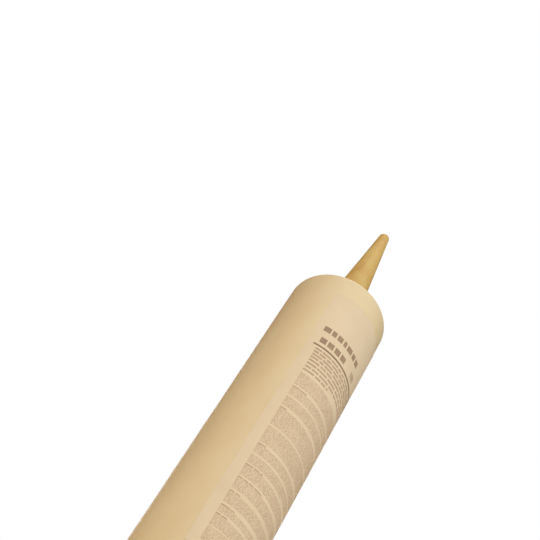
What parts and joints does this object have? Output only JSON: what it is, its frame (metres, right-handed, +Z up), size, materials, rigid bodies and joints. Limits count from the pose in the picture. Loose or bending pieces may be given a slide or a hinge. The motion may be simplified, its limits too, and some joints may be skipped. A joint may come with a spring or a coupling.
{
  "type": "caulk tube",
  "caption": "Sealant cartridge that stands on its rear rim: moulded barrel with a paper label, screw-on cone nozzle with an uncut tip, foil seal and sliding piston.",
  "frame": {"origin": "centre of the rear rim, on the surface that the tube stands on", "axes": "+Z up the axis of the barrel to the nozzle's tip; the bare stripe beside the label faces between -X and -Y"},
  "size_m": [0.0502, 0.0502, 0.2986],
  "materials": {
    "barrel_plastic": "smooth cream-white moulded polyethylene, satin",
    "label_paper": "matt off-white printed paper",
    "seal_foil": "thin bright foil",
    "nozzle_plastic": "waxy, slightly cloudy natural polyethylene, ochre",
    "piston_plastic": "plain moulded polyethylene",
    "sealant_paste": "smooth thick paste"
  },
  "bodies": {
    "barrel": {"barrel": "barrel_plastic", "label": "label_paper", "neck_seal": "seal_foil", "sealant": "sealant_paste"},
    "nozzle": {"nozzle": "nozzle_plastic"},
    "piston": {"piston": "piston_plastic"}
  },
  "joints": [
    {"name": "nozzle_off", "type": "slide", "parent": "barrel", "child": "nozzle", "axis": [0, 0, 1], "range_m": [0, 0.04]},
    {"name": "piston_slide", "type": "slide", "parent": "barrel", "child": "piston", "axis": [0, 0, 1], "range_m": [0, 0.178], "deforming": ["sealant"]}
  ]
}
